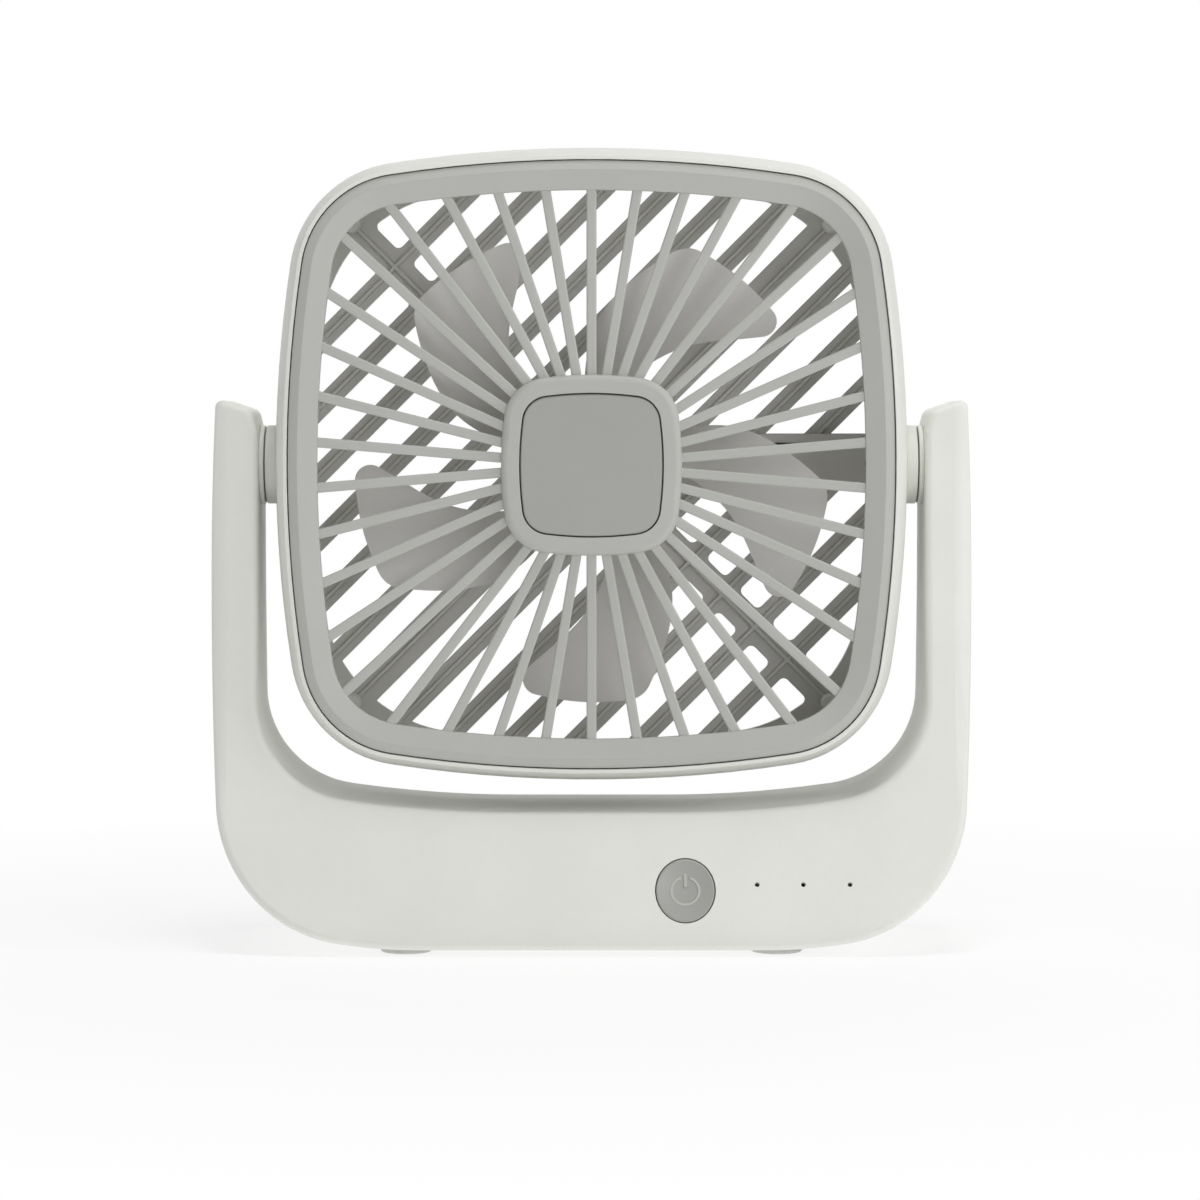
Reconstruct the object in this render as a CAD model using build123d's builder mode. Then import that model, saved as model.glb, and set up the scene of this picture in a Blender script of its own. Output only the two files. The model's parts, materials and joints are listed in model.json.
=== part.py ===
from build123d import *
from math import atan2, cos, degrees, hypot, radians, sin, sqrt, tan
import os

# Small rechargeable desk fan: a square rounded head tilts between the arms of a U-shaped base.
# Millimetres; +Z up, the front faces -Y; the origin is on the ground under the middle of the base.

# ---------------------------------------------------------------- driving dimensions
RUN = 0.05            # radial clearance of a running fit
REVEAL = 0.3          # gap between a moving face and what stands beside it
SEAM = 0.1            # gap where two shells of one body meet
PRESS = 0.02          # radial clearance round a screw or a pressed pin

# base
GROUND_GAP = 1.3      # underside of the base above the ground
WALL = 2.0
BOTTOM_HALF = 37.4    # half length of the flat underside
BELLY_RADIUS = 110.0  # the underside curls up through three arcs: belly, corner, side
BELLY_TURN = 9.0      # turns are in degrees
CORNER_RADIUS = 31.4
CORNER_TURN = 77.0
SIDE_RADIUS = 700.0
FLOOR_HEIGHT = 30.3   # bottom of the U
FLOOR_HALF = 17.0     # half length of its flat stretch
SAG_RADIUS = 250.0    # the U's floor rises through two arcs: sag, bend
SAG_TURN = 8.5
BEND_RADIUS = 21.8
BEND_TURN = 81.5
ARM_INNER = 72.5      # inner face of an arm from the middle plane
ARM_TOP = 119.6       # outer corner of an arm's slanted top
ARM_TOP_INNER = 116.9
ARM_INNER_BEND = 112.0
ARM_CHAMFER = 1.2     # the inner face leans outwards by this above the bend
ARM_TOP_ROUNDS = (1.6, 2.2)   # outer and inner corner of the slanted top
BASE_DEPTH = 29.0     # half depth at the ground
SKIRT_HEIGHT = 3.3    # the faces are upright up to here
TOE_RADIUS = 16.0     # then round into their lean
FACE_SLOPE = 17.0     # lean of the front and rear faces, degrees
LEAN_LENGTH = 27.0
FLARE_RADIUS = 190.0  # then flare into the arms' faces
ARM_SLOPE = 1.0
SPLIT_DEPTH = 7.0     # the rear shell begins here
ARM_OUTER = 83.2      # where the slab that the U is cut from ends
ARM_SIDE_ROUND = 4.4
BASE_EDGE_ROUND = 1.5
FOOT_X = 40.0
FOOT_Y = 19.0
FOOT_RADIUS = 5.5
FOOT_POCKET = 0.8

# head
PIVOT_HEIGHT = 105.0
HEAD_HALF = 69.0      # widest half width of the head shell
HEAD_SIDE_RADIUS = 290.0
HEAD_CORNER_RADIUS = 26.1
HEAD_FRONT = -22.4    # front lip of the head shell
HEAD_SEAM = 17.6      # the rear grille begins here
HEAD_REAR = 23.0
LEDGE_FRONT = -19.3   # seat of the front grille
LEDGE_REAR = -17.6
RING_OUTER = 65.1     # front grille ring, half width
RING_INNER = 58.9
RING_CREST = 63.1
RIB_COUNT = 38
RIB_WIDTH = 2.15
RIB_ROUND = 0.4
HUB_HALF = 19.4
HUB_SIDE_RADIUS = 80.0
HUB_CORNER_RADIUS = 9.7
HUB_SHOULDER = 1.5
CAP_HALF = 15.2
HUB_FRONT = -23.1
HUB_BACK = -18.6
CAP_SEAT = -19.9
CAP_GAP = 0.3
RING_FRONT = -23.0
RIB_BACK = -18.9
RIB_DEPTH = 2.5       # front to back
HOOK_SPREAD = 24.0    # snap hooks each side of the middle of each side
HOOK_WIDTH = 6.0
HOOK_END = -16.6
HOOK_INNER = 61.0
HOOK_HALF = 62.35
BARB_HALF = 63.1
BARB_DEPTH = 0.85
GRILLE_SCREW_REACH = 53.5
GRILLE_SCREWS = [(x, rise) for x in (-GRILLE_SCREW_REACH, GRILLE_SCREW_REACH)
                 for rise in (-GRILLE_SCREW_REACH, GRILLE_SCREW_REACH)]
GRILLE_SCREW_HEAD_RADIUS = 1.8
GRILLE_POST_RADIUS = 1.9
GRILLE_POST_LENGTH = 7.0
GRILLE_SCREW_SEAT = 20.6

# rear grille
FIELD_HALF = 62.4     # opening that the slats cross
FIELD_SIDE_RADIUS = 283.0
FIELD_CORNER_RADIUS = 33.0
SLAT_PITCH = 10.4
SLAT_WIDTH = 4.2
SPINE_WIDTH = 6.4
MIDDLE_SLAT_WIDTH = 7.0
SLAT_FRONT = 20.4
SLAT_REAR = 22.7
SLAT_ROWS = 6         # slats on each side of the middle one
RIDGE_WIDTH = 0.9
RIDGE_HEIGHT = 1.2
SLOT_ROUND = 1.3
DUCT_FRONT = 14.5
DUCT_START = 13.1     # the duct runs from the motor mount to the right side of the head
DUCT_END = 64.2
DUCT_BOTTOM = -5.2    # its underside and top from the pivot's height
DUCT_TOP = 6.8
DUCT_WALL = 1.2
DUCT_LIP = 2.1        # its top wall is thicker and shows above the cover
DUCT_COVER = 1.2
DUCT_COVER_GAP = 0.6
LEAD_DEPTH = 18.2     # the motor's lead runs in the duct at this depth
LEAD_DROP_X = 62.2    # and leaves it here, towards the pivot
LEAD_DROP_RADIUS = 1.1

# pivots
BOSS_RADIUS = 8.6
BOSS_END = 71.2       # outer end of the head's boss
AXLE_RADIUS = 5.0
AXLE_INNER_END = 63.4
AXLE_OUTER_END = 77.4
AXLE_BORE = 1.6
AXLE_FLANGE_RADIUS = 7.2
BUSH_ROUND = 0.3
BOSS_START = 64.6     # inner end of the head's boss
BUSH_RADIUS = 6.2
RETAINER_BORE = 4.2
SLEEVE_END = 75.6
WASHER_END = 76.3
WASHER_RADIUS = 6.8
LEAD_RADIUS = 0.7
LEAD_JOIN = 70.0      # the head's lead hands over to the base's lead here, on the pivot axis

# impeller and motor
BLADE_COUNT = 5
BLADE_TIP = 52.0
BLADE_THICKNESS = 1.5
BLADE_START = 37.0    # angle of the first blade's leading lobe, degrees
BLADE_LENGTH_TURN = 25.0   # angle from there to the line along the blade's length
BLADE_MIDDLE = -6.6   # depth of the middle of the blades
BLADE_CAMBER = 1.2
LEADING_TIP_ROUND = 3.3
TRAILING_TIP_ROUND = 6.0
# radius and angle ahead of the lobe, from the hub out
BLADE_LEADING_EDGE = ((13, 36), (26.2, 22), (34.1, 13), (41.3, 4.5), (52, -3))
BLADE_TRAILING_EDGE = ((13, 60), (22.3, 56), (31.4, 50.5), (39.3, 42.5), (52, 29.5))
# reach from the axis, middle, pitch in degrees, and the two ends across the blade
BLADE_SECTIONS = ((10, 5, 36, -8, 17), (26, 3, 29, -16, 17), (42, -3, 20, -24, 16), (56, -8, 15, -30, 14))
IMPELLER_REAR = 2.4
IMPELLER_HUB_RADIUS = 17.0
IMPELLER_FRONT = -14.5
MOTOR_RADIUS = 12.2
MOTOR_LENGTH = 14.4
MOTOR_END = 17.0
MOUNT_RADIUS = 14.2
SHAFT_RADIUS = 1.0
SHAFT_FRONT = -12.5
MOUNT_FRONT = -1.7
CAN_WALL = 0.8
MOTOR_BOSS_RADIUS = 4.0
SHAFT_BUSH_RADIUS = 2.4
MOTOR_SCREW_X = 8.0
ARMATURE_RADIUS = 9.0
COMMUTATOR_RADIUS = 2.6
TERMINAL_X = 6.0

# power button
BUTTON_X = 20.1
BUTTON_HEIGHT = 14.0
BUTTON_HALF_WIDTH = 6.3
BUTTON_HALF_HEIGHT = 6.9
LAMP_X = (35.5, 45.4, 55.4)
LAMP_RISE = 1.3       # lamp holes above the button's middle, along the face
LAMP_HOLE_RADIUS = 0.5
LAMP_RADIUS = 1.5
LAMP_BASE = 2.0       # a lamp stands this far off its board
BUTTON_GAP = 0.2
BUTTON_PROUD = 0.15
DISH_DEPTH = 0.75
DISH_RADIUS = 28.0
SYMBOL_RADIUS = 3.3
SYMBOL_STROKE = 0.62
SYMBOL_RELIEF = 0.22

# cells and boards
CELL_RADIUS = 9.2
CELL_LENGTH = 65.0
CELL_START = -57.0
CELL_END = CELL_START + CELL_LENGTH
CELL_HEIGHT = 14.4
CELL_SPREAD = 9.6
STRIP_THICKNESS = 0.2
BOARD_THICKNESS = 1.6
BOARD_SETBACK = 9.0   # front of the control board behind the base's face
BOARD_LEFT = -10.2    # measured from the button's middle, as are the posts
BOARD_LENGTH = 52.0
BOARD_WIDTH = 11.6
BOARD_RISE = 1.4      # its middle above the button's middle, along the face
BOARD_POSTS = ((-8.2, 5.6), (40.2, 5.4))
SWITCH_HEIGHT = 3.5
PLUNGER_RADIUS = 1.5
PLUNGER_PROUD = 0.8   # the button's travel is 0.6 of this
CHARGE_BOARD_TOP = 10.0
CHARGE_BOARD_FRONT = 9.0
CHARGE_BOARD_REAR = 24.5
CHARGE_BOARD_LENGTH = 27.0
SOCKET_X = 38.0
SOCKET_WIDTH = 8.94
SOCKET_HEIGHT = 3.26
SOCKET_LENGTH = 7.3
SOCKET_FRONT = 19.8
SOCKET_MIDDLE = CHARGE_BOARD_TOP + SOCKET_HEIGHT / 2
CHARGE_POSTS = ((27.0, 21.5), (49.0, 21.5))
LEAD_PLUGS = ((27.0, 12.0), (49.0, 12.0), (44.0, 12.0))
LEAD_PLUG_HEIGHT = 4.0

# screws
SCREW_RADIUS = 1.0
SCREW_HEAD_RADIUS = 2.1
SCREW_HEAD_HEIGHT = 1.5
BASE_SCREW_SEAT = 9.5
BASE_SCREW_LENGTH = 13.0
ARM_SCREWS = ((-77.5, 114.3), (77.5, 114.3))
ARM_POST_RADIUS = 2.2
FLOOR_SCREWS = ((-62.0, 28.5), (0.0, 27.2), (62.0, 28.5))
FLOOR_POST_RADIUS = 3.3
BASE_SCREWS = ARM_SCREWS + FLOOR_SCREWS


# ---------------------------------------------------------------- planes and outlines
def facing_front(depth, height=0.0):
    """Plane at a depth that faces the front: its x is +X and its y is +Z."""
    return Plane(origin=(0, depth, height), x_dir=(1, 0, 0), z_dir=(0, -1, 0))


def head_plane(depth):
    """Front-facing plane whose middle is the head's centre."""
    return facing_front(depth, PIVOT_HEIGHT)


def across(x, height=PIVOT_HEIGHT, side=1):
    """Plane square to X whose normal points out on that side."""
    return Plane(origin=(side * x, 0, height), x_dir=(0, side, 0), z_dir=(side, 0, 0))


def rounded_square(half, side_radius, corner_radius):
    """Square with bowed sides: four side arcs run into four corner arcs."""
    lift = side_radius - half
    reach = side_radius - corner_radius
    corner = (sqrt(2 * reach**2 - lift**2) - lift) / 2
    half_angle = degrees(atan2(corner, corner + lift))
    with BuildSketch() as face:
        with BuildLine():
            for quarter in range(4):
                turn = 90 * quarter
                side_centre = Vector(-lift, 0).rotate(Axis.Z, turn)
                corner_centre = Vector(corner, corner).rotate(Axis.Z, turn)
                CenterArc(side_centre, side_radius, turn - half_angle, 2 * half_angle)
                CenterArc(corner_centre, corner_radius, turn + half_angle, 90 - 2 * half_angle)
        make_face()
    return face.sketch


def head_outline(half):
    """The head's outline moved inwards to the given half width."""
    inset = HEAD_HALF - half
    return rounded_square(half, HEAD_SIDE_RADIUS - inset, HEAD_CORNER_RADIUS - inset)


def hub_outline(half):
    """The hub ring's outline moved inwards to the given half width."""
    inset = HUB_HALF - half
    return rounded_square(half, HUB_SIDE_RADIUS - inset, HUB_CORNER_RADIUS - inset)


def base_outline(inset):
    """Front view of the base, a U with a slanted top on each arm, moved into the material."""
    with BuildSketch() as face:
        with BuildLine():
            bottom = Line((0, GROUND_GAP + inset), (BOTTOM_HALF, GROUND_GAP + inset))
            belly = JernArc(bottom @ 1, bottom % 1, BELLY_RADIUS - inset, BELLY_TURN)
            corner = JernArc(belly @ 1, belly % 1, CORNER_RADIUS - inset, CORNER_TURN)
            rise = ARM_TOP - inset - (corner @ 1).Y
            side_turn = degrees(rise / (SIDE_RADIUS - inset))
            side = JernArc(corner @ 1, corner % 1, SIDE_RADIUS - inset, side_turn)
            floor = Line((0, FLOOR_HEIGHT - inset), (FLOOR_HALF, FLOOR_HEIGHT - inset))
            sag = JernArc(floor @ 1, floor % 1, SAG_RADIUS + inset, SAG_TURN)
            bend = JernArc(sag @ 1, sag % 1, BEND_RADIUS + inset, BEND_TURN)
            inner_top = (ARM_INNER + ARM_CHAMFER + inset, ARM_TOP_INNER - inset)
            Polyline(bend @ 1, (ARM_INNER + inset, ARM_INNER_BEND), inner_top, side @ 1)
            Line(bottom @ 0, floor @ 0)
        make_face()
        mirror(about=Plane.YZ)
        if inset == 0:
            outer_round, inner_round = ARM_TOP_ROUNDS
            fillet(face.vertices().group_by(Axis.Y)[-1], outer_round)
            inner_corners = face.vertices().filter_by(lambda v: abs(v.Y - ARM_TOP_INNER) < 0.01)
            fillet(inner_corners, inner_round)
    return face.sketch


def side_profile(inset):
    """Side view of the base: leaning faces that flare out of the arms, moved inwards."""
    with BuildSketch() as face:
        with BuildLine():
            skirt = Line((BASE_DEPTH - inset, -SKIRT_HEIGHT), (BASE_DEPTH - inset, SKIRT_HEIGHT))
            toe = JernArc(skirt @ 1, skirt % 1, TOE_RADIUS - inset, FACE_SLOPE)
            lean = PolarLine(toe @ 1, LEAN_LENGTH, direction=toe % 1)
            flare = JernArc(lean @ 1, lean % 1, FLARE_RADIUS + inset, ARM_SLOPE - FACE_SLOPE)
            arm = PolarLine(flare @ 1, ARM_TOP / 2, direction=flare % 1)
            Polyline(skirt @ 0, (0, -SKIRT_HEIGHT), (0, (arm @ 1).Y), arm @ 1)
        make_face()
        mirror(about=Plane.YZ)
    return face.sketch


def face_depth(height):
    """Half depth of the base where its front and rear faces lean."""
    slope = radians(FACE_SLOPE)
    toe_depth = BASE_DEPTH - TOE_RADIUS * (1 - cos(slope))
    toe_height = SKIRT_HEIGHT + TOE_RADIUS * sin(slope)
    return toe_depth - (height - toe_height) * tan(slope)


def ring_section(points, height=PIVOT_HEIGHT):
    """Closed polygon in the horizontal plane through the head's centre."""
    with BuildSketch(Plane.XY.offset(height)) as section:
        with BuildLine():
            Polyline(*points, close=True)
        make_face()
    return section.sketch


def head_path(half):
    """The head's outline as a closed path that starts at its rightmost point."""
    edges = head_outline(half).edges()
    start = edges.sort_by(Axis.X)[-1]
    halves = [start.trim(0.5, 1), start.trim(0, 0.5)]
    rest = [edge for edge in edges if edge is not start]
    wire = Wire([halves[0]] + rest + [halves[1]])
    return head_plane(0).location * wire


# The front face of the base leans back; the button and the lamps are set square to it.
BUTTON_FACE = Plane(
    origin=(BUTTON_X, -face_depth(BUTTON_HEIGHT), BUTTON_HEIGHT),
    x_dir=(1, 0, 0),
    z_dir=(0, -cos(radians(FACE_SLOPE)), sin(radians(FACE_SLOPE))),
)


def creased_edges(piece, least_angle=8):
    """Edges where two faces meet at more than the given angle, so not the tangent ones."""
    neighbours = {}
    for face in piece.faces():
        for edge in face.edges():
            neighbours.setdefault(edge, []).append(face)
    creased = ShapeList()
    for edge, faces in neighbours.items():
        middle = edge.position_at(0.5)
        if len(faces) == 2 and faces[0].normal_at(middle).get_angle(
                faces[1].normal_at(middle)) > least_angle:
            creased.append(edge)
    return creased


def finish(piece, label):
    """Names a finished piece and writes it."""
    piece.part.label = label
    export_step(piece.part, f"parts/{label}.step")


os.makedirs("parts", exist_ok=True)

# ---------------------------------------------------------------- base shells
# Leaning slab with rounded ends, cut to the U, with every crease rounded.
with BuildPart() as base_solid:
    with BuildSketch(Plane.YZ):
        add(side_profile(0))
    extrude(amount=ARM_OUTER, both=True)
    ends = base_solid.faces().filter_by(Axis.X)
    fillet(ends.edges().filter_by(Axis.Y, reverse=True), ARM_SIDE_ROUND)
    with BuildSketch(facing_front(0)):
        add(base_outline(0))
    extrude(amount=BASE_DEPTH + 1, both=True, mode=Mode.INTERSECT)
    fillet(creased_edges(base_solid.part), BASE_EDGE_ROUND)

# What is hollow inside the base: the same form inside the wall, less the screw posts.
with BuildPart() as base_hollow:
    with BuildSketch(Plane.YZ):
        add(side_profile(WALL))
    extrude(amount=ARM_OUTER - WALL, both=True)
    with BuildSketch(facing_front(0)):
        add(base_outline(WALL))
    extrude(amount=BASE_DEPTH + 1, both=True, mode=Mode.INTERSECT)
    with BuildSketch(facing_front(0)):
        with Locations(*ARM_SCREWS):
            Circle(ARM_POST_RADIUS)
        with Locations(*FLOOR_SCREWS):
            Circle(FLOOR_POST_RADIUS)
    extrude(amount=BASE_DEPTH + 1, both=True, mode=Mode.SUBTRACT)

with BuildPart() as base_front_shell:
    add(base_solid.part)
    add(base_hollow.part, mode=Mode.SUBTRACT)
    split(bisect_by=facing_front(SPLIT_DEPTH - SEAM / 2), keep=Keep.TOP)
    # pilot holes for the screws that hold the rear shell
    with BuildSketch(facing_front(SPLIT_DEPTH)):
        with Locations(*BASE_SCREWS):
            Circle(SCREW_RADIUS + PRESS)
    extrude(amount=12, mode=Mode.SUBTRACT)
    # bores for the pivot bushes, through the inner wall of each arm
    for side in (-1, 1):
        with BuildSketch(across(ARM_INNER - 1, side=side)):
            Circle(BUSH_RADIUS + PRESS)
        extrude(amount=WALL + 2, mode=Mode.SUBTRACT)
    # openings for the button and the lamps, and two posts for the control board
    with BuildSketch(BUTTON_FACE.offset(2)):
        Ellipse(BUTTON_HALF_WIDTH + BUTTON_GAP, BUTTON_HALF_HEIGHT + BUTTON_GAP)
        with Locations(*[(x - BUTTON_X, LAMP_RISE) for x in LAMP_X]):
            Circle(LAMP_HOLE_RADIUS)
    extrude(amount=-6, mode=Mode.SUBTRACT)
    with BuildSketch(BUTTON_FACE.offset(-WALL + 0.3)):
        with Locations(*BOARD_POSTS):
            Circle(1.5)
            Circle(0.7 + PRESS, mode=Mode.SUBTRACT)
    extrude(amount=-(BOARD_SETBACK - WALL + 0.3))
    # pockets for the front feet
    with BuildSketch(Plane.XY.offset(GROUND_GAP - 1)):
        with Locations((-FOOT_X, -FOOT_Y), (FOOT_X, -FOOT_Y)):
            Circle(FOOT_RADIUS + PRESS)
    extrude(amount=1 + FOOT_POCKET, mode=Mode.SUBTRACT)
finish(base_front_shell, "base_front_shell")

with BuildPart() as base_rear_shell:
    add(base_solid.part)
    add(base_hollow.part, mode=Mode.SUBTRACT)
    split(bisect_by=facing_front(SPLIT_DEPTH + SEAM / 2), keep=Keep.BOTTOM)
    # clearance holes with deep counterbores for the screw heads
    with BuildSketch(facing_front(SPLIT_DEPTH - 1)):
        with Locations(*BASE_SCREWS):
            Circle(SCREW_RADIUS + 0.2)
    extrude(amount=-10, mode=Mode.SUBTRACT)
    with BuildSketch(facing_front(BASE_SCREW_SEAT)):
        with Locations(*BASE_SCREWS):
            Circle(SCREW_HEAD_RADIUS + 0.2)
    extrude(amount=-30, mode=Mode.SUBTRACT)
    # opening for the charging socket
    with BuildSketch(facing_front(SOCKET_FRONT, SOCKET_MIDDLE)):
        with Locations((SOCKET_X, 0)):
            SlotOverall(SOCKET_WIDTH + 0.5, SOCKET_HEIGHT + 0.5)
    extrude(amount=-15, mode=Mode.SUBTRACT)
    # posts under the charging board
    with BuildSketch(Plane.XY.offset(GROUND_GAP + WALL - 0.3)):
        with Locations(*CHARGE_POSTS):
            Circle(1.8)
    extrude(amount=CHARGE_BOARD_TOP - BOARD_THICKNESS - GROUND_GAP - WALL + 0.3)
    with BuildSketch(Plane.XY.offset(CHARGE_BOARD_TOP - BOARD_THICKNESS)):
        with Locations(*CHARGE_POSTS):
            Circle(0.7 + PRESS)
    extrude(amount=-4, mode=Mode.SUBTRACT)
    with BuildSketch(Plane.XY.offset(GROUND_GAP - 1)):
        with Locations((-FOOT_X, FOOT_Y), (FOOT_X, FOOT_Y)):
            Circle(FOOT_RADIUS + PRESS)
    extrude(amount=1 + FOOT_POCKET, mode=Mode.SUBTRACT)
finish(base_rear_shell, "base_rear_shell")

for end, depth_sign in (("front", -1), ("rear", 1)):
    for hand, side in (("left", -1), ("right", 1)):
        with BuildPart() as foot:
            with BuildSketch():
                with Locations((side * FOOT_X, depth_sign * FOOT_Y)):
                    Circle(FOOT_RADIUS)
            extrude(amount=GROUND_GAP + FOOT_POCKET)
            fillet(foot.edges().group_by(Axis.Z)[0], 0.5)
        finish(foot, f"foot_{end}_{hand}")


def screw(seat, direction, length, radius=SCREW_RADIUS, head_radius=SCREW_HEAD_RADIUS,
          head_height=SCREW_HEAD_HEIGHT):
    """Pan-head screw whose head sits on the seat plane and whose shank goes down from it."""
    plane = Plane(origin=seat, z_dir=direction)
    with BuildPart() as piece:
        with BuildSketch(plane):
            Circle(head_radius)
        extrude(amount=head_height)
        fillet(piece.edges().filter_by(GeomType.CIRCLE).sort_by_distance(
            plane.origin + plane.z_dir * head_height)[:1], 0.45)
        with BuildSketch(plane.offset(head_height)):
            Rectangle(head_radius * 1.1, head_radius * 0.24)
            Rectangle(head_radius * 0.24, head_radius * 1.1)
        extrude(amount=-head_height * 0.5, mode=Mode.SUBTRACT)
        with BuildSketch(plane):
            Circle(radius)
        extrude(amount=-length)
    return piece.part


with BuildPart() as base_screws:
    for x, height in BASE_SCREWS:
        add(screw((x, BASE_SCREW_SEAT, height), (0, 1, 0), BASE_SCREW_LENGTH))
finish(base_screws, "base_screws")

# ---------------------------------------------------------------- cells, boards, socket
with BuildPart() as battery_cells:
    with BuildSketch(Plane.YZ.offset(CELL_START)):
        with Locations((-CELL_SPREAD, CELL_HEIGHT), (CELL_SPREAD, CELL_HEIGHT)):
            Circle(CELL_RADIUS)
    extrude(amount=CELL_LENGTH)
    fillet(battery_cells.edges().filter_by(GeomType.CIRCLE), 0.6)
finish(battery_cells, "battery_cells")

with BuildPart() as nickel_strips:
    for start in (CELL_START - STRIP_THICKNESS, CELL_END):
        with BuildSketch(Plane.YZ.offset(start)):
            with Locations((0, CELL_HEIGHT)):
                Rectangle(2 * CELL_SPREAD + 8, 5)
        extrude(amount=STRIP_THICKNESS)
finish(nickel_strips, "nickel_strips")

# Tray that follows the hollow's floor, with a trough for each cell and an end wall.
with BuildPart() as battery_tray:
    with BuildSketch(facing_front(0)):
        add(base_outline(WALL + 0.1))
        with Locations(((CELL_START + CELL_END) / 2, CELL_HEIGHT / 2)):
            Rectangle(CELL_LENGTH + 2.6, CELL_HEIGHT, mode=Mode.INTERSECT)
    extrude(amount=CELL_SPREAD + CELL_RADIUS + 0.9, both=True)
    with BuildSketch(Plane.YZ.offset(CELL_START - STRIP_THICKNESS)):
        with Locations((-CELL_SPREAD, CELL_HEIGHT), (CELL_SPREAD, CELL_HEIGHT)):
            Circle(CELL_RADIUS + 0.05)
    extrude(amount=CELL_LENGTH + 2 * STRIP_THICKNESS, mode=Mode.SUBTRACT)
    with BuildSketch(Plane.YZ.offset(CELL_START - STRIP_THICKNESS)):
        with Locations((0, CELL_HEIGHT)):
            Rectangle(2 * CELL_SPREAD + 9, 6)
    extrude(amount=CELL_LENGTH + 2 * STRIP_THICKNESS, mode=Mode.SUBTRACT)
finish(battery_tray, "battery_tray")

BOARD_PLANE = BUTTON_FACE.offset(-BOARD_SETBACK)
with BuildPart() as control_board:
    with BuildSketch(BOARD_PLANE):
        with Locations((BOARD_LEFT + BOARD_LENGTH / 2, BOARD_RISE)):
            RectangleRounded(BOARD_LENGTH, BOARD_WIDTH, 1)
        with Locations(*BOARD_POSTS):
            Circle(0.9, mode=Mode.SUBTRACT)
    extrude(amount=-BOARD_THICKNESS)
    with BuildSketch(BOARD_PLANE.offset(-BOARD_THICKNESS)):
        with Locations((14, -1), (25, 2)):
            Rectangle(5, 4)
        with Locations((20, -3), (31, -2), (6, 3)):
            Rectangle(2, 1.2)
    extrude(amount=-1.4)
finish(control_board, "control_board")

with BuildPart() as tact_switch:
    with BuildSketch(BOARD_PLANE):
        RectangleRounded(6, 6, 0.5)
    extrude(amount=SWITCH_HEIGHT)
    with BuildSketch(BOARD_PLANE.offset(SWITCH_HEIGHT)):
        Circle(PLUNGER_RADIUS + 0.15)
    extrude(amount=-1.4, mode=Mode.SUBTRACT)
finish(tact_switch, "tact_switch")

# Three lamps on legs, each with a domed end just behind its hole.
with BuildPart() as status_lamps:
    for lamp_x in LAMP_X:
        with BuildSketch(BOARD_PLANE.offset(LAMP_BASE)):
            with Locations((lamp_x - BUTTON_X, LAMP_RISE)):
                Circle(LAMP_RADIUS + 0.4)
        extrude(amount=0.8)
        with BuildSketch(BOARD_PLANE.offset(LAMP_BASE + 0.8)):
            with Locations((lamp_x - BUTTON_X, LAMP_RISE)):
                Circle(LAMP_RADIUS)
        extrude(amount=BOARD_SETBACK - WALL - LAMP_BASE - 1.0)
        with BuildSketch(BOARD_PLANE):
            with Locations(*[(lamp_x - BUTTON_X + leg, LAMP_RISE) for leg in (-0.8, 0.8)]):
                Rectangle(0.5, 0.5)
        extrude(amount=LAMP_BASE)
    tips = status_lamps.edges().filter_by(GeomType.CIRCLE).group_by(BUTTON_FACE.location.z_axis)[-1]
    fillet(tips, LAMP_RADIUS - 0.1)
finish(status_lamps, "status_lamps")

with BuildPart() as board_screws:
    for x, rise in BOARD_POSTS:
        seat = BOARD_PLANE.offset(-BOARD_THICKNESS).from_local_coords(Vector(x, rise, 0))
        add(screw(seat, -BUTTON_FACE.z_dir, 5, 0.7, 1.3, 1.0))
    for x, depth in CHARGE_POSTS:
        add(screw((x, depth, CHARGE_BOARD_TOP), (0, 0, 1), 5, 0.7, 1.3, 1.0))
finish(board_screws, "board_screws")

with BuildPart() as charge_board:
    with BuildSketch(Plane.XY.offset(CHARGE_BOARD_TOP)):
        with Locations((SOCKET_X, (CHARGE_BOARD_FRONT + CHARGE_BOARD_REAR) / 2)):
            RectangleRounded(CHARGE_BOARD_LENGTH, CHARGE_BOARD_REAR - CHARGE_BOARD_FRONT, 1)
        with Locations(*CHARGE_POSTS):
            Circle(0.9, mode=Mode.SUBTRACT)
    extrude(amount=-BOARD_THICKNESS)
    # charge controller, coil and the plugs of the three leads
    with BuildSketch(Plane.XY.offset(CHARGE_BOARD_TOP)):
        with Locations((SOCKET_X - 8, 14), (SOCKET_X + 2, 14)):
            Rectangle(4.6, 4.6)
    extrude(amount=1.6)
    with BuildSketch(Plane.XY.offset(CHARGE_BOARD_TOP)):
        with Locations(*LEAD_PLUGS):
            Rectangle(4, 4)
    extrude(amount=LEAD_PLUG_HEIGHT)
finish(charge_board, "charge_board")

with BuildPart() as usb_c_socket:
    with BuildSketch(facing_front(SOCKET_FRONT, SOCKET_MIDDLE)):
        with Locations((SOCKET_X, 0)):
            SlotOverall(SOCKET_WIDTH, SOCKET_HEIGHT)
    extrude(amount=-SOCKET_LENGTH)
    with BuildSketch(facing_front(SOCKET_FRONT + SOCKET_LENGTH, SOCKET_MIDDLE)):
        with Locations((SOCKET_X, 0)):
            SlotOverall(SOCKET_WIDTH - 0.6, SOCKET_HEIGHT - 0.6)
    extrude(amount=SOCKET_LENGTH - 1.2, mode=Mode.SUBTRACT)
    with BuildSketch(facing_front(SOCKET_FRONT + 1, SOCKET_MIDDLE)):
        with Locations((SOCKET_X, 0)):
            Rectangle(6.7, 0.7)
    extrude(amount=-(SOCKET_LENGTH - 2))
finish(usb_c_socket, "usb_c_socket")

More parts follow.
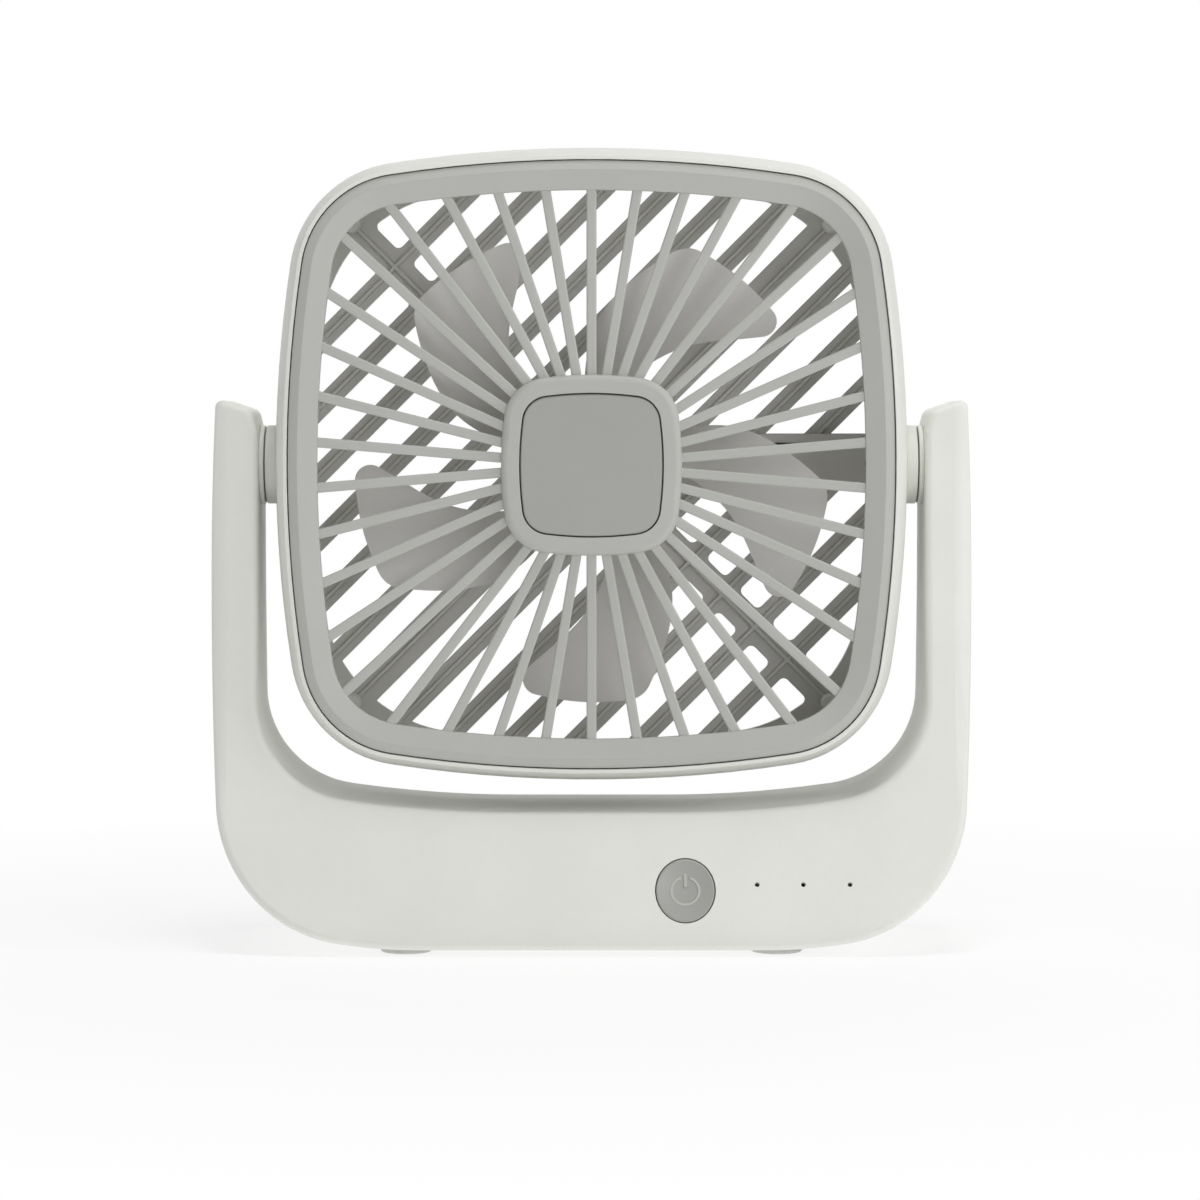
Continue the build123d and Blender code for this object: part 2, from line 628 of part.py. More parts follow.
# ---------------------------------------------------------------- power button
BUTTON_BACK = BUTTON_FACE.offset(-WALL - REVEAL)
with BuildPart() as power_button:
    with BuildSketch(BUTTON_BACK):
        Ellipse(BUTTON_HALF_WIDTH, BUTTON_HALF_HEIGHT)
    extrude(amount=WALL + REVEAL + BUTTON_PROUD)
    fillet(power_button.faces().sort_by(BUTTON_FACE.location.z_axis)[-1].edges(), 0.45)
    # shallow dish in the face
    with Locations(BUTTON_FACE.offset(BUTTON_PROUD - DISH_DEPTH + DISH_RADIUS).location):
        Sphere(DISH_RADIUS, mode=Mode.SUBTRACT)
    # raised power symbol: an open ring with a bar in the gap
    with BuildSketch(BUTTON_FACE.offset(-0.8)):
        Circle(SYMBOL_RADIUS)
        Circle(SYMBOL_RADIUS - SYMBOL_STROKE, mode=Mode.SUBTRACT)
        with Locations((0, SYMBOL_RADIUS)):
            Rectangle(3 * SYMBOL_STROKE, 2 * SYMBOL_RADIUS - 1, mode=Mode.SUBTRACT)
        with Locations((0, SYMBOL_RADIUS * 0.72)):
            Rectangle(SYMBOL_STROKE, SYMBOL_RADIUS * 0.95)
    extrude(amount=0.8 + BUTTON_PROUD - DISH_DEPTH + SYMBOL_RELIEF)
    # flange behind the wall, and a stem down to the switch
    with BuildSketch(BUTTON_BACK):
        Ellipse(BUTTON_HALF_WIDTH + 1, BUTTON_HALF_HEIGHT + 0.7)
    extrude(amount=-0.8)
    with BuildSketch(BUTTON_BACK.offset(-0.8)):
        Circle(2)
    extrude(amount=-(BOARD_SETBACK - SWITCH_HEIGHT - PLUNGER_PROUD - WALL - REVEAL - 0.8))
finish(power_button, "power_button")

with BuildPart() as switch_plunger:
    with BuildSketch(BOARD_PLANE.offset(SWITCH_HEIGHT - 0.7)):
        Circle(PLUNGER_RADIUS)
    extrude(amount=0.7 + PLUNGER_PROUD)
finish(switch_plunger, "switch_plunger")

# ---------------------------------------------------------------- pivots
for hand, side in (("left", -1), ("right", 1)):
    with BuildPart() as pivot_bush:
        with BuildSketch(across(BOSS_END + REVEAL, side=side)):
            Circle(BOSS_RADIUS)
        extrude(amount=ARM_INNER - BOSS_END - REVEAL - PRESS)
        fillet(pivot_bush.edges().group_by(SortBy.DISTANCE)[0], BUSH_ROUND)
        with BuildSketch(across(ARM_INNER - PRESS, side=side)):
            Circle(BUSH_RADIUS)
        extrude(amount=SLEEVE_END - ARM_INNER + PRESS)
        with BuildSketch(across(BOSS_END, side=side)):
            Circle(AXLE_RADIUS + RUN)
        extrude(amount=SLEEVE_END - BOSS_END + 1, mode=Mode.SUBTRACT)
    finish(pivot_bush, f"pivot_bush_{hand}")

    with BuildPart() as friction_washer:
        with BuildSketch(across(SLEEVE_END, side=side)):
            Circle(WASHER_RADIUS)
            Circle(AXLE_RADIUS + RUN, mode=Mode.SUBTRACT)
        extrude(amount=WASHER_END - SLEEVE_END - 0.05)
    finish(friction_washer, f"friction_washer_{hand}")

    with BuildPart() as pivot_axle:
        with BuildSketch(across(AXLE_INNER_END, side=side)):
            Circle(AXLE_FLANGE_RADIUS)
        extrude(amount=BOSS_START - AXLE_INNER_END)
        with BuildSketch(across(BOSS_START, side=side)):
            Circle(AXLE_RADIUS)
        extrude(amount=WASHER_END - BOSS_START)
        with BuildSketch(across(WASHER_END, side=side)):
            Circle(RETAINER_BORE)
        extrude(amount=AXLE_OUTER_END - WASHER_END)
        with BuildSketch(across(AXLE_INNER_END, side=side)):
            Circle(AXLE_BORE)
        extrude(amount=AXLE_OUTER_END - AXLE_INNER_END, mode=Mode.SUBTRACT)
    finish(pivot_axle, f"pivot_axle_{hand}")

    with BuildPart() as axle_retainer:
        with BuildSketch(across(WASHER_END, side=side)):
            Circle(WASHER_RADIUS - 0.4)
            Circle(RETAINER_BORE + PRESS, mode=Mode.SUBTRACT)
            with Locations((0, -5)):
                Rectangle(2.4, 4, mode=Mode.SUBTRACT)
        extrude(amount=0.9)
    finish(axle_retainer, f"axle_retainer_{hand}")

# ---------------------------------------------------------------- head shell
# Bowed band: a thin front lip, a ledge behind it for the front grille, a plain rear edge.
with BuildPart() as head_shell:
    with BuildSketch(Plane.XY.offset(PIVOT_HEIGHT)) as shell_section:
        with BuildLine():
            lip = Line((65.35, HEAD_FRONT), (66.2, HEAD_FRONT + 0.15))
            front_bow = ThreePointArc(lip @ 1, (68.2, -13), (HEAD_HALF, -1.5))
            rear_bow = ThreePointArc(front_bow @ 1, (68.55, 8.5), (67.3, HEAD_SEAM))
            rear_edge = Line(rear_bow @ 1, (65.2, HEAD_SEAM))
            inner_bow = ThreePointArc(rear_edge @ 1, (66.7, 0), (65.6, LEDGE_REAR))
            Polyline(inner_bow @ 1, (62.6, LEDGE_REAR), (62.6, LEDGE_FRONT),
                     (65.35, LEDGE_FRONT), lip @ 0)
        make_face()
    sweep(path=head_path(HEAD_HALF))
    # pivot bosses
    for side in (-1, 1):
        with BuildSketch(across(BOSS_START, side=side)):
            Circle(BOSS_RADIUS)
        extrude(amount=BOSS_END - BOSS_START)
        with BuildSketch(across(BOSS_START - 1, side=side)):
            Circle(AXLE_RADIUS + PRESS)
        extrude(amount=BOSS_END - BOSS_START + 2, mode=Mode.SUBTRACT)
    rims = head_shell.edges().filter_by(GeomType.CIRCLE).filter_by(
        lambda edge: abs(abs(edge.center().X) - BOSS_END) < 0.01 and edge.radius > 8)
    fillet(rims, BUSH_ROUND)
    # a post in each rear corner, webbed to the wall, for the rear grille's screws
    with BuildSketch(head_plane(HEAD_SEAM)):
        for x, rise in GRILLE_SCREWS:
            with Locations((x, rise)):
                Circle(GRILLE_POST_RADIUS)
            with Locations(Location((x * 1.05, rise * 1.05), (0, 0, degrees(atan2(rise, x))))):
                Rectangle(8, 1.6)
        add(head_outline(66), mode=Mode.INTERSECT)
    extrude(amount=GRILLE_POST_LENGTH)
    with BuildSketch(head_plane(HEAD_SEAM)):
        with Locations(*GRILLE_SCREWS):
            Circle(SCREW_RADIUS + PRESS)
    extrude(amount=GRILLE_POST_LENGTH - 1, mode=Mode.SUBTRACT)
finish(head_shell, "head_shell")

# ---------------------------------------------------------------- front grille and hub cap
# One straight rib with a rounded front, lying along X.
with BuildPart() as rib:
    with BuildSketch(Plane.YZ.offset(HUB_HALF - 3)):
        with Locations((0, RIB_DEPTH / 2)):
            Rectangle(RIB_WIDTH, RIB_DEPTH)
    extrude(amount=70)
    fillet(rib.edges().filter_by(Axis.X).group_by(Axis.Z)[-1], RIB_ROUND)

with BuildPart(head_plane(RIB_BACK)) as ribs:
    with PolarLocations(0, RIB_COUNT, start_angle=90):
        add(rib.part)
    with BuildSketch(head_plane(0)):
        add(head_outline(RING_INNER + 1.5))
    extrude(amount=40, both=True, mode=Mode.INTERSECT)

# Square pad with rounded shoulders; the cap's seat is cut into it later.
with BuildPart() as hub:
    with BuildSketch(head_plane(HUB_BACK)):
        add(hub_outline(HUB_HALF))
    extrude(amount=HUB_BACK - HUB_FRONT)
    fillet(hub.faces().sort_by(Axis.Y)[0].edges(), HUB_SHOULDER)

with BuildPart() as front_grille:
    add(ring_section([
        (RING_OUTER, HEAD_FRONT + 0.3), (RING_CREST, RING_FRONT), (RING_INNER, RING_FRONT + 1.3),
        (RING_INNER, LEDGE_FRONT - PRESS), (RING_OUTER, LEDGE_FRONT - PRESS)]))
    sweep(path=head_path(HEAD_HALF))
    add(ribs.part)
    add(hub.part)
    with BuildSketch(head_plane(CAP_SEAT)):
        add(hub_outline(CAP_HALF + CAP_GAP))
    extrude(amount=10, mode=Mode.SUBTRACT)
    # snap hooks beside the ledge of the head shell, each with a barb behind it
    for hook_half, height in ((HOOK_HALF, HOOK_END - LEDGE_FRONT + 0.5), (BARB_HALF, BARB_DEPTH)):
        with BuildSketch(head_plane(HOOK_END)):
            with Locations((HOOK_SPREAD, 0), (-HOOK_SPREAD, 0)):
                Rectangle(HOOK_WIDTH, 2 * HEAD_HALF)
            with Locations((0, HOOK_SPREAD), (0, -HOOK_SPREAD)):
                Rectangle(2 * HEAD_HALF, HOOK_WIDTH)
            add(head_outline(hook_half), mode=Mode.INTERSECT)
            add(head_outline(HOOK_INNER), mode=Mode.SUBTRACT)
        extrude(amount=height)
finish(front_grille, "front_grille")

with BuildPart() as hub_cap:
    with BuildSketch(head_plane(CAP_SEAT - PRESS)):
        add(hub_outline(CAP_HALF))
    extrude(amount=CAP_SEAT - PRESS - HUB_FRONT - 0.1)
    fillet(hub_cap.faces().sort_by(Axis.Y)[0].edges(), 0.35)
finish(hub_cap, "hub_cap")

# ---------------------------------------------------------------- rear grille
DUCT_MIDDLE = (DUCT_TOP + DUCT_BOTTOM) / 2


def diagonal_strips(width, middle_width):
    """Strips along one diagonal, a pitch apart, with a wider one in the middle."""
    with BuildSketch() as strips:
        for row in range(-SLAT_ROWS, SLAT_ROWS + 1):
            with Locations(Location(Vector(0, row * SLAT_PITCH).rotate(Axis.Z, 45), (0, 0, 45))):
                Rectangle(3 * FIELD_HALF, width if row else middle_width)
    return strips.sketch


def spine(width):
    """Strip along the other diagonal."""
    with BuildSketch() as strip:
        with Locations(Location((0, 0), (0, 0, -45))):
            Rectangle(3 * FIELD_HALF, width)
    return strip.sketch


# Openings between the slats, the spine, the motor mount and the duct.
with BuildSketch() as slots:
    add(rounded_square(FIELD_HALF, FIELD_SIDE_RADIUS, FIELD_CORNER_RADIUS))
    add(diagonal_strips(SLAT_WIDTH, MIDDLE_SLAT_WIDTH), mode=Mode.SUBTRACT)
    add(spine(SPINE_WIDTH), mode=Mode.SUBTRACT)
    Circle(MOUNT_RADIUS + 1.2, mode=Mode.SUBTRACT)
    with Locations((DUCT_END / 2, DUCT_MIDDLE)):
        Rectangle(DUCT_END, DUCT_TOP - DUCT_BOTTOM, mode=Mode.SUBTRACT)
    beside_spine = slots.vertices().filter_by(
        lambda v: abs(abs(v.X + v.Y) / sqrt(2) - SPINE_WIDTH / 2) < 0.01)
    fillet(beside_spine, SLOT_ROUND)

with BuildPart() as rear_grille:
    # rounded rim that closes the head shell
    with BuildSketch(Plane.XY.offset(PIVOT_HEIGHT)):
        with BuildLine():
            shoulder = ThreePointArc((67.28, HEAD_SEAM + SEAM), (66.0, 21.6), (62.9, HEAD_REAR))
            Polyline(shoulder @ 1, (FIELD_HALF + 0.05, HEAD_REAR), (FIELD_HALF + 0.05, SLAT_FRONT),
                     (64.2, SLAT_FRONT), (65.2, 19.4), (65.2, HEAD_SEAM + SEAM), shoulder @ 0)
        make_face()
    sweep(path=head_path(HEAD_HALF))
    # slats: the field less its slots
    with BuildSketch(head_plane(SLAT_REAR)):
        add(head_outline(FIELD_HALF + 0.6))
        add(slots.sketch, mode=Mode.SUBTRACT)
    extrude(amount=SLAT_REAR - SLAT_FRONT)
    # a thin ridge along the front of each slat and of the spine
    with BuildSketch(head_plane(SLAT_FRONT)):
        add(diagonal_strips(RIDGE_WIDTH, RIDGE_WIDTH))
        add(spine(RIDGE_WIDTH))
        add(head_outline(FIELD_HALF), mode=Mode.INTERSECT)
    extrude(amount=RIDGE_HEIGHT)
    # motor mount: a cup open at the rear with a plate across its front
    with BuildSketch(head_plane(SLAT_REAR)):
        Circle(MOUNT_RADIUS)
    extrude(amount=SLAT_REAR - MOUNT_FRONT)
    with BuildSketch(head_plane(SLAT_REAR + 1)):
        Circle(MOTOR_RADIUS + 0.1)
    extrude(amount=SLAT_REAR + 1, mode=Mode.SUBTRACT)
    with BuildSketch(head_plane(1)):
        Circle(MOTOR_BOSS_RADIUS + 0.2)
        with Locations((-MOTOR_SCREW_X, 0), (MOTOR_SCREW_X, 0)):
            Circle(SCREW_RADIUS + 0.1)
    extrude(amount=5, mode=Mode.SUBTRACT)
    # duct for the motor's lead, open towards its cover
    with BuildSketch(head_plane(SLAT_REAR)):
        with Locations(((DUCT_START + DUCT_END) / 2, DUCT_MIDDLE)):
            Rectangle(DUCT_END - DUCT_START, DUCT_TOP - DUCT_BOTTOM)
    extrude(amount=SLAT_REAR - DUCT_FRONT)
    with BuildSketch(head_plane(SLAT_FRONT)):
        channel_end = DUCT_END - 0.7
        channel_top = DUCT_TOP - DUCT_LIP
        channel_bottom = DUCT_BOTTOM + DUCT_WALL
        with Locations(((MOTOR_RADIUS + channel_end) / 2, (channel_top + channel_bottom) / 2)):
            Rectangle(channel_end - MOTOR_RADIUS, channel_top - channel_bottom)
    extrude(amount=SLAT_FRONT - DUCT_FRONT, mode=Mode.SUBTRACT)
    # counterbored screw holes in the solid corners
    with BuildSketch(head_plane(HEAD_REAR)):
        with Locations(*GRILLE_SCREWS):
            Circle(SCREW_RADIUS + 0.2)
    extrude(amount=8, mode=Mode.SUBTRACT)
    with BuildSketch(head_plane(HEAD_REAR)):
        with Locations(*GRILLE_SCREWS):
            Circle(GRILLE_SCREW_HEAD_RADIUS + 0.2)
    extrude(amount=HEAD_REAR - GRILLE_SCREW_SEAT, mode=Mode.SUBTRACT)
finish(rear_grille, "rear_grille")

with BuildPart() as grille_screws:
    for x, rise in GRILLE_SCREWS:
        seat = (x, GRILLE_SCREW_SEAT, PIVOT_HEIGHT + rise)
        add(screw(seat, (0, 1, 0), 8, head_radius=GRILLE_SCREW_HEAD_RADIUS))
finish(grille_screws, "grille_screws")

with BuildPart() as wire_duct_cover:
    with BuildSketch(head_plane(DUCT_FRONT - PRESS)):
        cover_start = MOUNT_RADIUS + 0.5
        cover_end = DUCT_END - 0.2
        cover_top = DUCT_TOP - DUCT_LIP - DUCT_COVER_GAP
        with Locations(((cover_start + cover_end) / 2, (cover_top + DUCT_BOTTOM) / 2)):
            Rectangle(cover_end - cover_start, cover_top - DUCT_BOTTOM)
        with Locations((LEAD_DROP_X, 0)):
            Circle(LEAD_DROP_RADIUS, mode=Mode.SUBTRACT)
    extrude(amount=DUCT_COVER)
    fillet(wire_duct_cover.faces().sort_by(Axis.Y)[0].edges().filter_by(Axis.X), 0.5)
finish(wire_duct_cover, "wire_duct_cover")

with BuildPart() as motor_cover:
    with BuildSketch(head_plane(SLAT_REAR)):
        Circle(MOTOR_RADIUS - 0.1)
    extrude(amount=SLAT_REAR - SLAT_FRONT)
    fillet(motor_cover.edges().group_by(Axis.Y)[-1], 0.5)
    with BuildSketch(head_plane(SLAT_FRONT)):
        Circle(MOTOR_RADIUS - 0.1)
        Circle(MOTOR_RADIUS - 1.2, mode=Mode.SUBTRACT)
        with Locations((MOTOR_RADIUS, 0)):
            Rectangle(8, 2 * DUCT_TOP, mode=Mode.SUBTRACT)
    extrude(amount=SLAT_FRONT - MOTOR_END - PRESS)
finish(motor_cover, "motor_cover")

# ---------------------------------------------------------------- motor
with BuildPart() as motor_can:
    with BuildSketch(head_plane(MOTOR_LENGTH)):
        Circle(MOTOR_RADIUS)
    extrude(amount=MOTOR_LENGTH)
    fillet(motor_can.edges().group_by(Axis.Y)[0], 0.8)
    with BuildSketch(head_plane(MOTOR_LENGTH)):
        Circle(MOTOR_RADIUS - CAN_WALL)
    extrude(amount=MOTOR_LENGTH - CAN_WALL, mode=Mode.SUBTRACT)
    with BuildSketch(head_plane(0.2)):
        Circle(MOTOR_BOSS_RADIUS)
    extrude(amount=-MOUNT_FRONT - 0.1)
    with BuildSketch(head_plane(CAN_WALL)):
        Circle(SHAFT_BUSH_RADIUS + PRESS)
        with Locations((-MOTOR_SCREW_X, 0), (MOTOR_SCREW_X, 0)):
            Circle(SCREW_RADIUS + PRESS)
    extrude(amount=5, mode=Mode.SUBTRACT)
finish(motor_can, "motor_can")

with BuildPart() as motor_end_bell:
    with BuildSketch(head_plane(MOTOR_END)):
        Circle(MOTOR_RADIUS - 0.2)
    extrude(amount=MOTOR_END - MOTOR_LENGTH - PRESS)
    with BuildSketch(head_plane(MOTOR_LENGTH + 0.5)):
        Circle(MOTOR_RADIUS - CAN_WALL - PRESS)
        Circle(MOTOR_RADIUS - CAN_WALL - 1, mode=Mode.SUBTRACT)
    extrude(amount=1.5)
    with BuildSketch(head_plane(MOTOR_END)):
        Circle(SHAFT_BUSH_RADIUS + PRESS)
    extrude(amount=4, mode=Mode.SUBTRACT)
    # two terminals
    with BuildSketch(head_plane(MOTOR_END)):
        with Locations((TERMINAL_X, 2.2), (TERMINAL_X, -2.2)):
            Rectangle(1.6, 0.5)
    extrude(amount=-2)
finish(motor_end_bell, "motor_end_bell")

for label, rear, length in (("shaft_bush_front", 1.6, 3.1), ("shaft_bush_rear", MOTOR_END, 2.5)):
    with BuildPart() as shaft_bush:
        with BuildSketch(head_plane(rear)):
            Circle(SHAFT_BUSH_RADIUS)
            Circle(SHAFT_RADIUS + 0.03, mode=Mode.SUBTRACT)
        extrude(amount=length)
    finish(shaft_bush, label)

# Two arc magnets against the inside of the can.
with BuildPart() as motor_magnets:
    with BuildSketch(head_plane(12.6)):
        Circle(MOTOR_RADIUS - CAN_WALL - PRESS)
        Circle(ARMATURE_RADIUS + 0.5, mode=Mode.SUBTRACT)
        Rectangle(9, 40, mode=Mode.SUBTRACT)
    extrude(amount=10)
finish(motor_magnets, "motor_magnets")

with BuildPart() as motor_brushes:
    with BuildSketch(head_plane(14.3)):
        with Locations((0, COMMUTATOR_RADIUS + 0.5), (0, -COMMUTATOR_RADIUS - 0.5)):
            Rectangle(3, 0.8)
        with Locations((3, COMMUTATOR_RADIUS + 0.75), (3, -COMMUTATOR_RADIUS - 0.75)):
            Rectangle(6, 0.3)
    extrude(amount=1.2)
finish(motor_brushes, "motor_brushes")

with BuildPart() as motor_screws:
    for x in (-MOTOR_SCREW_X, MOTOR_SCREW_X):
        add(screw((x, MOUNT_FRONT, PIVOT_HEIGHT), (0, -1, 0), 3.2))
finish(motor_screws, "motor_screws")

# Three-pole armature with its coils and commutator.
with BuildPart() as armature:
    with BuildSketch(head_plane(11.5)):
        Circle(3)
        with PolarLocations(4.5, 3):
            Rectangle(6, 3)
        with BuildSketch(mode=Mode.ADD) as poles:
            Circle(ARMATURE_RADIUS)
            Circle(ARMATURE_RADIUS - 1.8, mode=Mode.SUBTRACT)
            with PolarLocations(ARMATURE_RADIUS, 3, start_angle=60):
                Rectangle(6, 2.4, mode=Mode.SUBTRACT)
        Circle(SHAFT_RADIUS, mode=Mode.SUBTRACT)
    extrude(amount=8)
finish(armature, "armature")

with BuildPart() as armature_coils:
    with BuildSketch(head_plane(12.2)):
        with PolarLocations(4.8, 3):
            RectangleRounded(3.2, 6, 0.8)
            Rectangle(6, 3.04, mode=Mode.SUBTRACT)
        Circle(3.02, mode=Mode.SUBTRACT)
    extrude(amount=9.4)
finish(armature_coils, "armature_coils")

with BuildPart() as commutator:
    with BuildSketch(head_plane(14.3)):
        Circle(COMMUTATOR_RADIUS)
        Circle(SHAFT_RADIUS, mode=Mode.SUBTRACT)
    extrude(amount=1.9)
finish(commutator, "commutator")

with BuildPart() as motor_shaft:
    with BuildSketch(head_plane(16.6)):
        Circle(SHAFT_RADIUS)
    extrude(amount=16.6 - SHAFT_FRONT)
finish(motor_shaft, "motor_shaft")

# ---------------------------------------------------------------- impeller
def blade_edge_point(radius, ahead):
    """Point of a blade's outline: its radius, and its angle ahead of the blade's lobe."""
    return Vector(radius, 0).rotate(Axis.Z, BLADE_START + ahead)


def blade_section(reach, middle, pitch, start, end):
    """Cambered strip across the blade at a reach from the axis, square to the blade's length."""
    middle_plane = head_plane(BLADE_MIDDLE)
    angle = radians(BLADE_START + BLADE_LENGTH_TURN)
    outwards = middle_plane.x_dir * cos(angle) + middle_plane.y_dir * sin(angle)
    sideways = middle_plane.y_dir * cos(angle) - middle_plane.x_dir * sin(angle)
    plane = Plane(origin=middle_plane.origin + outwards * reach, x_dir=sideways, z_dir=outwards)
    rise = tan(radians(pitch))
    centre = (start + end) / 2
    chord = [(start, (start - middle) * rise), (centre, (centre - middle) * rise - BLADE_CAMBER),
             (end, (end - middle) * rise)]
    with BuildSketch(plane) as section:
        with BuildLine():
            near = ThreePointArc(*[(t, lift + BLADE_THICKNESS / 2) for t, lift in chord])
            far = ThreePointArc(*[(t, lift - BLADE_THICKNESS / 2) for t, lift in chord])
            Line(near @ 0, far @ 0)
            Line(near @ 1, far @ 1)
        make_face()
    return section.sketch


# Twisted strip trimmed to the blade's swept outline.
with BuildPart() as blade:
    for reach, middle, pitch, start, end in BLADE_SECTIONS:
        add(blade_section(reach, middle, pitch, start, end))
    loft()
    with BuildSketch(head_plane(BLADE_MIDDLE)) as outline:
        with BuildLine():
            lead = Spline(*[blade_edge_point(r, a) for r, a in BLADE_LEADING_EDGE])
            tip = CenterArc((0, 0), BLADE_TIP, BLADE_START + BLADE_LEADING_EDGE[-1][1],
                            BLADE_TRAILING_EDGE[-1][1] - BLADE_LEADING_EDGE[-1][1])
            trail = Spline(*[blade_edge_point(r, a) for r, a in BLADE_TRAILING_EDGE])
            Line(lead @ 0, trail @ 0)
        make_face()
        corners = outline.vertices().filter_by(lambda v: hypot(v.X, v.Y) > BLADE_TIP - 0.1)
        fillet(corners.sort_by_distance(lead @ 1)[0], LEADING_TIP_ROUND)
        fillet(outline.vertices().sort_by_distance(trail @ 1)[0], TRAILING_TIP_ROUND)
    extrude(amount=20, both=True, mode=Mode.INTERSECT)

with BuildPart(head_plane(0)) as blades:
    with PolarLocations(0, BLADE_COUNT):
        add(head_plane(0).location.inverse() * blade.part)

with BuildPart() as impeller:
    with BuildSketch(head_plane(IMPELLER_REAR)):
        Circle(IMPELLER_HUB_RADIUS)
    extrude(amount=IMPELLER_REAR - IMPELLER_FRONT)
    fillet(impeller.edges().group_by(Axis.Y)[0], 1.2)
    add(blades.part)
    with BuildSketch(head_plane(IMPELLER_REAR + 10)):
        Circle(IMPELLER_HUB_RADIUS - 1.6)
    extrude(amount=IMPELLER_REAR + 10 - IMPELLER_FRONT - 1.6, mode=Mode.SUBTRACT)
    with BuildSketch(head_plane(-4.6)):
        Circle(3.4)
    extrude(amount=-4.6 - IMPELLER_FRONT - 1)
    with BuildSketch(head_plane(0)):
        Circle(SHAFT_RADIUS)
    extrude(amount=-SHAFT_FRONT, mode=Mode.SUBTRACT)
finish(impeller, "impeller")

# ---------------------------------------------------------------- leads
def lead(label, points, radii):
    """Round lead along straight runs joined by tangent arcs; checks its volume."""
    with BuildLine() as route:
        FilletPolyline(*points, radius=radii)
    path = route.wire()
    with BuildPart() as piece:
        with BuildSketch(Plane(origin=path @ 0, z_dir=path % 0)):
            Circle(LEAD_RADIUS)
        sweep(path=path)
    print(label, "volume over section times length",
          round(piece.part.volume / (3.141593 * LEAD_RADIUS**2 * path.length), 4))
    finish(piece, label)


lead("head_lead",
     [(TERMINAL_X + 1, LEAD_DEPTH, PIVOT_HEIGHT), (LEAD_DROP_X, LEAD_DEPTH, PIVOT_HEIGHT),
      (LEAD_DROP_X, 0, PIVOT_HEIGHT), (LEAD_JOIN, 0, PIVOT_HEIGHT)],
     [2.5, 1.6])
lead("base_lead",
     [(LEAD_JOIN, 0, PIVOT_HEIGHT), (79.3, 0, PIVOT_HEIGHT), (79.2, 0, 62), (76.6, 1, 36),
      (66, 8, 17), (59, 12, 12), (51, 12, 12)],
     [1.8, 60, 25, 12, 10])
lead("battery_lead",
     [(CELL_END + STRIP_THICKNESS, 9.6, 15.3), (15.5, 9.6, 15.3), (20, 12, 12), (25, 12, 12)],
     [4, 4])
control_exit = BOARD_PLANE.offset(-BOARD_THICKNESS).from_local_coords(Vector(20, 1, 0))
lead("board_lead",
     [control_exit, control_exit - BUTTON_FACE.z_dir * 9, (40.1, 2, 12), (40.1, 10, 12)],
     [6, 6])
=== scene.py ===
import json
import math

import bmesh
import bpy
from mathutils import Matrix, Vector


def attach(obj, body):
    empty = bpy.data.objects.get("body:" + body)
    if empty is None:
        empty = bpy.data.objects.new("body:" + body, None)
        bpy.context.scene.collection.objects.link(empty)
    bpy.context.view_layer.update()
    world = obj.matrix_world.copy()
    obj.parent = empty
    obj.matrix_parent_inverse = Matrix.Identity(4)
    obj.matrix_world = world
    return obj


# Looks of a small rechargeable desk fan.
# Metres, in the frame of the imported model: +Z up, front towards -Y.
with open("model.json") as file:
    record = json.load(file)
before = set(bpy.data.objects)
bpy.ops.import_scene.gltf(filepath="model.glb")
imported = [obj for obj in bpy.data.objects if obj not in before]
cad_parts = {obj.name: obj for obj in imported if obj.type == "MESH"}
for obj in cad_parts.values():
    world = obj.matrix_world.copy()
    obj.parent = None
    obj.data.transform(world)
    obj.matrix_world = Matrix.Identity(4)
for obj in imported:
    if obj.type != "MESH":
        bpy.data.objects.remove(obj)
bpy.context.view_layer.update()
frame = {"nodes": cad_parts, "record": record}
nodes = frame["nodes"]

MM = 0.001


